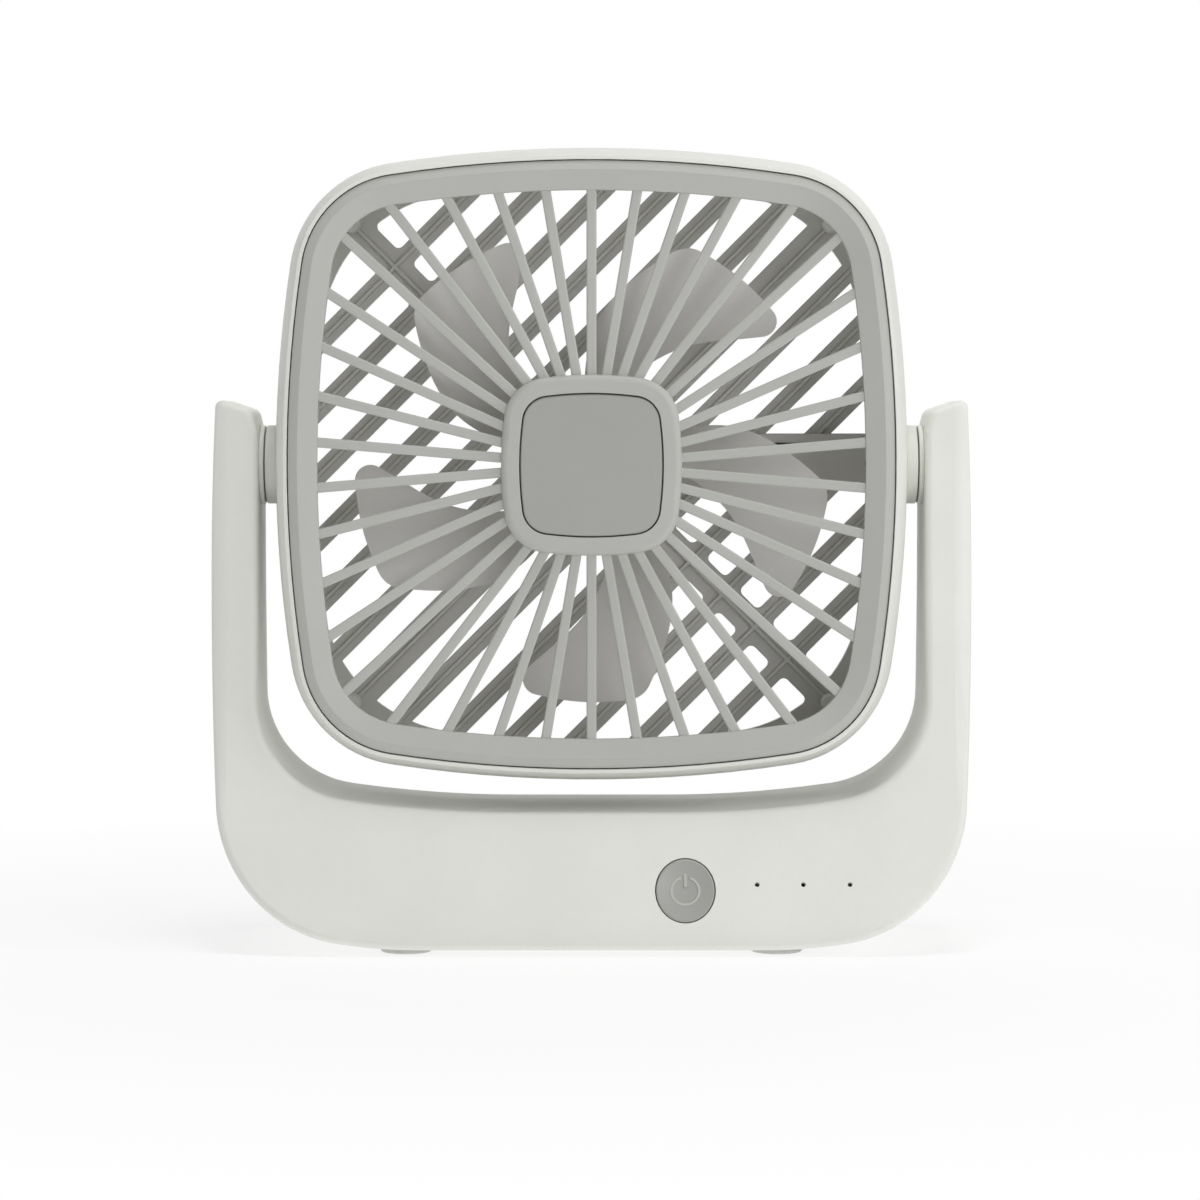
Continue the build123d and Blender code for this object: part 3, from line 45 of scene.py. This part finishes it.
# ---------------------------------------------------------------- material tools
class Shader:
    """A new node material, with short ways to add nodes and link them."""

    def __init__(self, name):
        self.material = bpy.data.materials.new(name)
        self.material.use_nodes = True
        self.tree = self.material.node_tree
        self.principled = self.tree.nodes["Principled BSDF"]
        self.place = self.add("ShaderNodeTexCoord").outputs["Object"]

    def add(self, kind, **settings):
        node = self.tree.nodes.new(kind)
        for key, value in settings.items():
            setattr(node, key, value)
        return node

    def link(self, source, target):
        self.tree.links.new(source, target)

    def stretched(self, factors):
        """Object coordinates times a factor along each axis."""
        mapping = self.add("ShaderNodeMapping")
        mapping.inputs["Scale"].default_value = factors
        self.link(self.place, mapping.inputs["Vector"])
        return mapping.outputs["Vector"]

    def noise(self, size, detail=2.0, roughness=0.5, place=None):
        """Soft noise whose blobs are about one size across."""
        node = self.add("ShaderNodeTexNoise")
        node.inputs["Scale"].default_value = 1 / size
        node.inputs["Detail"].default_value = detail
        node.inputs["Roughness"].default_value = roughness
        self.link(place or self.place, node.inputs["Vector"])
        return node.outputs["Fac"]

    def ranged(self, value, low, high, out_low, out_high):
        """The value taken from one range to another, and held at its ends."""
        node = self.add("ShaderNodeMapRange")
        node.inputs["From Min"].default_value = low
        node.inputs["From Max"].default_value = high
        node.inputs["To Min"].default_value = out_low
        node.inputs["To Max"].default_value = out_high
        self.link(value, node.inputs["Value"])
        return node.outputs["Result"]

    def math(self, operation, first, second):
        """Result of an operation on two values, each a socket or a number."""
        node = self.add("ShaderNodeMath", operation=operation)
        for index, value in enumerate((first, second)):
            if isinstance(value, (int, float)):
                node.inputs[index].default_value = value
            else:
                self.link(value, node.inputs[index])
        return node.outputs[0]

    def mixed(self, factor, first, second):
        """Colour between two colours, each a socket or a triple."""
        node = self.add("ShaderNodeMix", data_type="RGBA")
        self.link(factor, node.inputs["Factor"])
        for socket, value in (("A", first), ("B", second)):
            target = next(s for s in node.inputs if s.name == socket and s.type == "RGBA")
            if isinstance(value, tuple):
                target.default_value = (*value, 1.0)
            else:
                self.link(value, target)
        return next(s for s in node.outputs if s.type == "RGBA")

    def tinted(self, value, low, high, colour, first, last):
        """From one shade of a colour to another as the value goes from low to high."""
        share = self.ranged(value, low, high, 0.0, 1.0)
        return self.mixed(share, shaded(colour, first), shaded(colour, last))

    def edges(self, radius):
        """How much the surface bends within a radius of here, 0 on a flat and 1 on a sharp edge."""
        bevel = self.add("ShaderNodeBevel", samples=6)
        bevel.inputs["Radius"].default_value = radius
        flat = self.add("ShaderNodeNewGeometry").outputs["Normal"]
        dot = self.add("ShaderNodeVectorMath", operation="DOT_PRODUCT")
        self.link(bevel.outputs["Normal"], dot.inputs[0])
        self.link(flat, dot.inputs[1])
        return self.ranged(dot.outputs["Value"], 0.995, 0.8, 0.0, 1.0), bevel.outputs["Normal"]

    def bump(self, height, distance, normal=None):
        """Normal of a surface that stands up by the height times a distance in metres."""
        node = self.add("ShaderNodeBump")
        node.inputs["Strength"].default_value = 1.0
        node.inputs["Distance"].default_value = distance
        self.link(height, node.inputs["Height"])
        if normal is not None:
            self.link(normal, node.inputs["Normal"])
        return node.outputs["Normal"]

    def to(self, socket, source):
        self.link(source, self.principled.inputs[socket])


def linear(text):
    """Linear colour of an sRGB hex triple."""
    values = [int(text[i:i + 2], 16) / 255 for i in (0, 2, 4)]
    return tuple(v / 12.92 if v <= 0.04045 else ((v + 0.055) / 1.055) ** 2.4 for v in values)


def shaded(colour, factor):
    """The colour made lighter or darker by a factor."""
    return tuple(min(1.0, c * factor) for c in colour)


# ---------------------------------------------------------------- materials
MOTTLE = 0.025        # how far the moulded plastic's tone drifts either way
GRAIN = 0.35 * MM     # size of its eroded texture


def moulded(name, colour, roughness, depth=0.012 * MM, round_off=0.3 * MM, wear_and_light=0.35, edge_tone=1.16):
    """Matte moulded plastic: fine eroded texture, faint flow marks, edges mixed to another tone: rubbed
    wear, plus a painted highlight where lighter and painted shade where darker.
    """
    s = Shader(name)
    clouds = s.noise(28 * MM, detail=3)
    flecks = s.noise(1.6 * MM, detail=2)
    tone = s.tinted(clouds, 0.3, 0.7, colour, 1 - MOTTLE, 1 + MOTTLE)
    tone = s.mixed(s.ranged(flecks, 0.35, 0.8, 0.0, 0.12), tone, shaded(colour, 0.9))
    edge, rounded = s.edges(round_off)
    # Edges take edge_tone: rubbed wear, and also painted highlight where the tone is lighter and
    # painted shade where it is darker.
    rubbed_and_lit = s.math("MULTIPLY", edge, s.ranged(s.noise(3 * MM, detail=3), 0.35, 0.65, 0.3 * wear_and_light, wear_and_light))
    s.to("Base Color", s.mixed(rubbed_and_lit, tone, shaded(colour, edge_tone)))
    pitted = s.ranged(s.noise(0.9 * MM, detail=2), 0.3, 0.7, roughness - 0.05, roughness + 0.06)
    s.to("Roughness", s.math("SUBTRACT", pitted, s.math("MULTIPLY", rubbed_and_lit, 0.12)))
    texture = s.noise(GRAIN, detail=2, roughness=0.6)
    s.to("Normal", s.bump(texture, depth, normal=rounded))
    return s.material


def rubber(name, colour):
    """Soft matte rubber with a slightly dusty, pitted skin."""
    s = Shader(name)
    dust = s.noise(1.2 * MM, detail=4, roughness=0.65)
    s.to("Base Color", s.tinted(dust, 0.35, 0.7, colour, 0.92, 1.08))
    s.to("Roughness", s.ranged(s.noise(0.6 * MM), 0.3, 0.7, 0.72, 0.9))
    s.to("Normal", s.bump(s.noise(0.25 * MM, detail=3), 0.02 * MM))
    s.principled.inputs["Specular IOR Level"].default_value = 0.35
    return s.material


def metal(name, colour, roughness, direction, tarnish=0.12):
    """Machined or rolled metal: fine lines across one direction, clouded tarnish, brighter edges."""
    s = Shader(name)
    lines = s.noise(0.12 * MM, detail=3, place=s.stretched(direction))
    clouds = s.noise(2.5 * MM, detail=4, roughness=0.6)
    tone = s.tinted(clouds, 0.35, 0.7, colour, 1 + tarnish / 2, 1 - tarnish)
    edge, rounded = s.edges(0.12 * MM)
    s.to("Base Color", s.mixed(s.math("MULTIPLY", edge, 0.4), tone, shaded(colour, 1.25)))
    s.to("Roughness", s.ranged(lines, 0.3, 0.7, roughness - 0.07, roughness + 0.1))
    s.to("Normal", s.bump(lines, 0.003 * MM, normal=rounded))
    s.principled.inputs["Metallic"].default_value = 1.0
    return s.material


def wound_copper(name, colour):
    """Enamelled wire: fine parallel turns round each tooth."""
    s = Shader(name)
    wave = s.add("ShaderNodeTexWave", bands_direction="Y")
    wave.inputs["Scale"].default_value = 1 / (0.9 * MM)
    wave.inputs["Distortion"].default_value = 0.6
    s.link(s.place, wave.inputs["Vector"])
    turns = wave.outputs["Fac"]
    # Darker bands between the turns: painted shade in the grooves between the wires.
    s.to("Base Color", s.mixed(turns, shaded(colour, 0.55), colour))
    s.to("Roughness", s.ranged(s.noise(0.8 * MM, detail=2), 0.3, 0.7, 0.22, 0.38))
    s.to("Normal", s.bump(turns, 0.06 * MM))
    s.principled.inputs["Metallic"].default_value = 1.0
    s.principled.inputs["Coat Weight"].default_value = 0.4
    return s.material


def sintered(name, colour):
    """Dark pressed ferrite with a grainy skin and chipped, lighter edges."""
    s = Shader(name)
    grains = s.noise(0.3 * MM, detail=4, roughness=0.7)
    edge, rounded = s.edges(0.25 * MM)
    tone = s.tinted(grains, 0.3, 0.75, colour, 0.8, 1.35)
    chipped = s.math("MULTIPLY", edge, s.ranged(s.noise(0.9 * MM, detail=4), 0.45, 0.6, 0.0, 0.8))
    s.to("Base Color", s.mixed(chipped, tone, shaded(colour, 2.2)))
    s.to("Roughness", s.ranged(grains, 0.3, 0.7, 0.55, 0.78))
    s.to("Normal", s.bump(grains, 0.02 * MM, normal=rounded))
    return s.material


def circuit_board(name, colour):
    """Solder mask over copper tracks: a lattice of tracks shows as a lighter, raised green."""
    s = Shader(name)
    tracks = s.add("ShaderNodeTexBrick", offset=0.37, squash=1.0)
    tracks.inputs["Scale"].default_value = 1 / (4.2 * MM)
    tracks.inputs["Mortar Size"].default_value = 0.045
    tracks.inputs["Mortar Smooth"].default_value = 0.25
    s.link(s.place, tracks.inputs["Vector"])
    track = tracks.outputs["Fac"]
    tone = s.tinted(s.noise(6 * MM, detail=2), 0.3, 0.7, colour, 0.9, 1.1)
    s.to("Base Color", s.mixed(s.math("MULTIPLY", track, 0.6), tone, shaded(colour, 1.9)))
    s.to("Roughness", s.ranged(s.noise(1.5 * MM, detail=2), 0.3, 0.7, 0.24, 0.38))
    s.to("Normal", s.bump(track, 0.035 * MM))
    s.principled.inputs["Coat Weight"].default_value = 0.5
    s.principled.inputs["Coat Roughness"].default_value = 0.15
    return s.material


def clear_lamp(name, colour):
    """Water-clear epoxy lamp body, faintly clouded."""
    s = Shader(name)
    haze = s.noise(0.8 * MM, detail=3)
    s.to("Base Color", s.tinted(haze, 0.3, 0.7, colour, 0.94, 1.04))
    s.to("Roughness", s.ranged(haze, 0.3, 0.7, 0.05, 0.14))
    s.to("Normal", s.bump(haze, 0.004 * MM))
    s.principled.inputs["Transmission Weight"].default_value = 0.85
    s.principled.inputs["IOR"].default_value = 1.52
    return s.material


def shrink_wrap(name, colour):
    """Glossy heat-shrunk film with faint lengthwise wrinkles."""
    s = Shader(name)
    wrinkles = s.noise(1.4 * MM, detail=3, place=s.stretched((0.12, 1, 1)))
    s.to("Base Color", s.tinted(wrinkles, 0.3, 0.7, colour, 0.88, 1.1))
    s.to("Roughness", s.ranged(wrinkles, 0.3, 0.7, 0.2, 0.34))
    s.to("Normal", s.bump(wrinkles, 0.03 * MM))
    s.principled.inputs["Coat Weight"].default_value = 0.35
    return s.material


# The slats and the blades stand in the head's shade; their tones are painted paler than their own grey,
# a painted light that lifts that shade.
SHELL = linear("e6e7e1")
GRILLE = linear("b8b9b4")
VENT = linear("dad9d6")
BLADE = linear("e6e4e1")
BUTTON = linear("a6a7a2")
PRINT = linear("bdbcb7")
CAP = linear("a8a9a4")
FOOT = linear("c6c7c2")

MATERIALS = {
    "shell_white": moulded("shell_white", SHELL, 0.55),
    "grille_grey": moulded("grille_grey", GRILLE, 0.58, round_off=0.25 * MM),
    # Slat edges go to 0.62 of the grey: painted shade along them.
    "vent_grey": moulded("vent_grey", VENT, 0.5, round_off=0.45 * MM, wear_and_light=0.9, edge_tone=0.62),
    "blade_grey": moulded("blade_grey", BLADE, 0.36, depth=0.004 * MM),
    # Button and symbol edges go to 1.3 of the grey: painted highlight along them.
    "button_grey": moulded("button_grey", BUTTON, 0.4, depth=0.006 * MM, wear_and_light=1.0, edge_tone=1.3),
    "foot_rubber": rubber("foot_rubber", FOOT),
    "steel": metal("steel", (0.62, 0.62, 0.64), 0.26, (1, 0.1, 1)),
    "motor_steel": metal("motor_steel", (0.5, 0.51, 0.53), 0.34, (1, 0.08, 1), tarnish=0.2),
    "brass": metal("brass", (0.72, 0.52, 0.26), 0.32, (1, 0.1, 1), tarnish=0.2),
    "copper": wound_copper("copper", (0.78, 0.36, 0.2)),
    "magnet": sintered("magnet", (0.05, 0.05, 0.055)),
    "board_green": circuit_board("board_green", (0.02, 0.1, 0.045)),
    "dark_plastic": moulded("dark_plastic", (0.02, 0.02, 0.022), 0.45, wear_and_light=0.6),
    "natural_plastic": moulded("natural_plastic", (0.62, 0.6, 0.54), 0.4),
    "lamp_clear": clear_lamp("lamp_clear", (0.78, 0.8, 0.8)),
    "cell_wrap": shrink_wrap("cell_wrap", (0.04, 0.12, 0.33)),
    "lead_grey": rubber("lead_grey", (0.09, 0.09, 0.09)),
}

# The cap is a little darker and smoother than the ring round it.
OWN_MATERIALS = {"hub_cap": moulded("cap_grey", CAP, 0.5, depth=0.008 * MM, round_off=0.2 * MM)}

for part in frame["record"]["subparts"]:
    carried = nodes[part["node"]]
    carried.data.materials.clear()
    carried.data.materials.append(OWN_MATERIALS.get(part["node"], MATERIALS[part["material_slot"]]))

# ---------------------------------------------------------------- print on the button
# The raised power symbol's flat tops carry a paler print: an open ring and a bar.
PRINT_RADIUS = 2.99 * MM      # middle of the ring's stroke
PRINT_HALF = 0.24 * MM        # half width of a printed line
PRINT_OPENING = math.radians(19.7)
PRINT_BASE = -0.01 * MM       # from the flat that it lies on
PRINT_TOP = 0.035 * MM
BAR_ENDS = (0.9 * MM, 3.85 * MM)
RING_STEPS = 96
BAR_STEPS = 6


def printed_line(path):
    """Vertices and faces of a thin line along a flat path, with cut shoulders and closed ends."""
    cut = 0.35 * (PRINT_TOP - PRINT_BASE)
    left = [(-PRINT_HALF, PRINT_BASE), (-PRINT_HALF, PRINT_TOP - cut), (-PRINT_HALF + cut, PRINT_TOP)]
    section = left + [(-across, height) for across, height in reversed(left)]
    vertices = []
    for index, point in enumerate(path):
        ahead = path[min(index + 1, len(path) - 1)] - path[max(index - 1, 0)]
        sideways = Vector((-ahead.y, ahead.x)).normalized()
        vertices += [(*(point + sideways * across), height) for across, height in section]
    count = len(section)
    faces = [tuple(range(count)), tuple(reversed(range(len(vertices) - count, len(vertices))))]
    for ring in range(len(path) - 1):
        for k in range(count):
            here, following = ring * count + k, ring * count + (k + 1) % count
            faces.append((here, here + count, following + count, following))
    return vertices, faces


def button_print():
    """Print on the symbol, laid on the highest flat near the button's middle."""
    press = next(j for j in frame["record"]["behaviour"]["joints"] if j["name"] == "power_button_press")
    outwards = -Vector(press["axis"])
    upwards = Vector((1, 0, 0)).cross(-outwards).normalized()
    button = nodes["power_button"].data.vertices
    across = [v.co.x for v in button]
    along = [v.co.dot(upwards) for v in button]
    middle = Vector(((min(across) + max(across)) / 2, (min(along) + max(along)) / 2))
    near = [v.co.dot(outwards) for v, x, y in zip(button, across, along)
            if (Vector((x, y)) - middle).length < PRINT_RADIUS + 2 * PRINT_HALF]
    height = max(near)
    swept = 2 * math.pi - 2 * PRINT_OPENING
    turns = [PRINT_OPENING + swept * k / RING_STEPS for k in range(RING_STEPS + 1)]
    ring = [Vector((math.sin(a), math.cos(a))) * PRINT_RADIUS for a in turns]
    start, end = BAR_ENDS
    bar = [Vector((0, start + (end - start) * k / BAR_STEPS)) for k in range(BAR_STEPS + 1)]
    vertices, faces = [], []
    for path in (ring, bar):
        points, polygons = printed_line(path)
        faces += [tuple(len(vertices) + i for i in polygon) for polygon in polygons]
        for x, y, z in points:
            place = Vector((middle.x + x, 0, 0)) + upwards * (middle.y + y) + outwards * (height + z)
            vertices.append(place)
    mesh = bpy.data.meshes.new("button_print")
    mesh.from_pydata(vertices, [], faces)
    shell = bmesh.new()
    shell.from_mesh(mesh)
    bmesh.ops.recalc_face_normals(shell, faces=shell.faces)
    shell.to_mesh(mesh)
    shell.free()
    mesh.materials.append(moulded("button_print", PRINT, 0.45, depth=0.003 * MM, round_off=0.02 * MM))
    piece = bpy.data.objects.new("button_print", mesh)
    bpy.context.scene.collection.objects.link(piece)
    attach(piece, "button")


button_print()

# ---------------------------------------------------------------- camera
# Straight on, a little above the tilt axis, pitched slightly down.
DISTANCE = 0.8603
EYE_HEIGHT = 0.1121
PITCH = math.radians(2.459)
LENS = 117.3
SIDE_SHIFT = 0.0071

camera_data = bpy.data.cameras.new("camera")
camera_data.lens = LENS
camera_data.sensor_width = 36
camera_data.shift_x = SIDE_SHIFT
camera = bpy.data.objects.new("camera", camera_data)
camera.location = (0, -DISTANCE, EYE_HEIGHT)
camera.rotation_euler = (math.pi / 2 - PITCH, 0, 0)
bpy.context.scene.collection.objects.link(camera)
bpy.context.scene.camera = camera
bpy.context.scene.view_settings.view_transform = "Standard"


# ---------------------------------------------------------------- light and floor
LIT_POINT = Vector((0, 0, 0.09))


def soft_box(name, place, size, power):
    """Square area light that faces the middle of the fan."""
    data = bpy.data.lights.new(name, "AREA")
    data.shape = "SQUARE"
    data.size = size
    data.energy = power
    lamp = bpy.data.objects.new(name, data)
    lamp.location = place
    lamp.rotation_euler = (LIT_POINT - Vector(place)).to_track_quat("-Z", "Y").to_euler()
    bpy.context.scene.collection.objects.link(lamp)


soft_box("key_light", (0.95, -0.32, 0.5), 0.35, 2.9)
soft_box("front_light", (0.5, -1.05, 0.35), 0.45, 2.7)
soft_box("fill_light", (-1.0, -0.05, 0.3), 0.6, 0.8)
soft_box("top_light", (0.05, -0.12, 1.1), 0.3, 4.8)
soft_box("back_light", (0.0, 0.95, 0.4), 0.9, 2.4)

AMBIENT = 0.22
world = bpy.data.worlds.new("studio")
world.use_nodes = True
bpy.context.scene.world = world
sky = world.node_tree
backdrop = sky.nodes["Background"]
backdrop.inputs["Strength"].default_value = 1.0
for_camera = sky.nodes.new("ShaderNodeBackground")
mix = sky.nodes.new("ShaderNodeMixShader")
sky.links.new(sky.nodes.new("ShaderNodeLightPath").outputs["Is Camera Ray"], mix.inputs["Fac"])
backdrop.inputs["Color"].default_value = (AMBIENT, AMBIENT, AMBIENT, 1)
for_camera.inputs["Color"].default_value = (1, 1, 1, 1)
sky.links.new(backdrop.outputs["Background"], mix.inputs[1])
sky.links.new(for_camera.outputs["Background"], mix.inputs[2])
sky.links.new(mix.outputs["Shader"], sky.nodes["World Output"].inputs["Surface"])

FLOOR_RADIUS = 3.0
FLOOR_FADE = (0.1, 0.3)       # distances between which the floor comes to glow fully
FLOOR_GLOW = 0.75             # share of glow inside the first of them
floor_mesh = bpy.data.meshes.new("floor")
disc = bmesh.new()
bmesh.ops.create_circle(disc, cap_ends=True, segments=96, radius=FLOOR_RADIUS)
disc.to_mesh(floor_mesh)
disc.free()
floor = bpy.data.objects.new("floor", floor_mesh)
bpy.context.scene.collection.objects.link(floor)


def pale_floor():
    """White paper that glows out to the backdrop's white away from the object."""
    s = Shader("pale_floor")
    s.principled.inputs["Base Color"].default_value = (0.97, 0.97, 0.97, 1)
    s.principled.inputs["Roughness"].default_value = 0.9
    glow = s.add("ShaderNodeEmission")
    length = s.add("ShaderNodeVectorMath", operation="LENGTH")
    s.link(s.place, length.inputs[0])
    fade = s.ranged(length.outputs["Value"], *FLOOR_FADE, FLOOR_GLOW, 1.0)
    blend = s.add("ShaderNodeMixShader")
    s.link(fade, blend.inputs["Fac"])
    s.link(s.principled.outputs["BSDF"], blend.inputs[1])
    s.link(glow.outputs["Emission"], blend.inputs[2])
    s.link(blend.outputs["Shader"], s.tree.nodes["Material Output"].inputs["Surface"])
    return s.material


floor_mesh.materials.append(pale_floor())
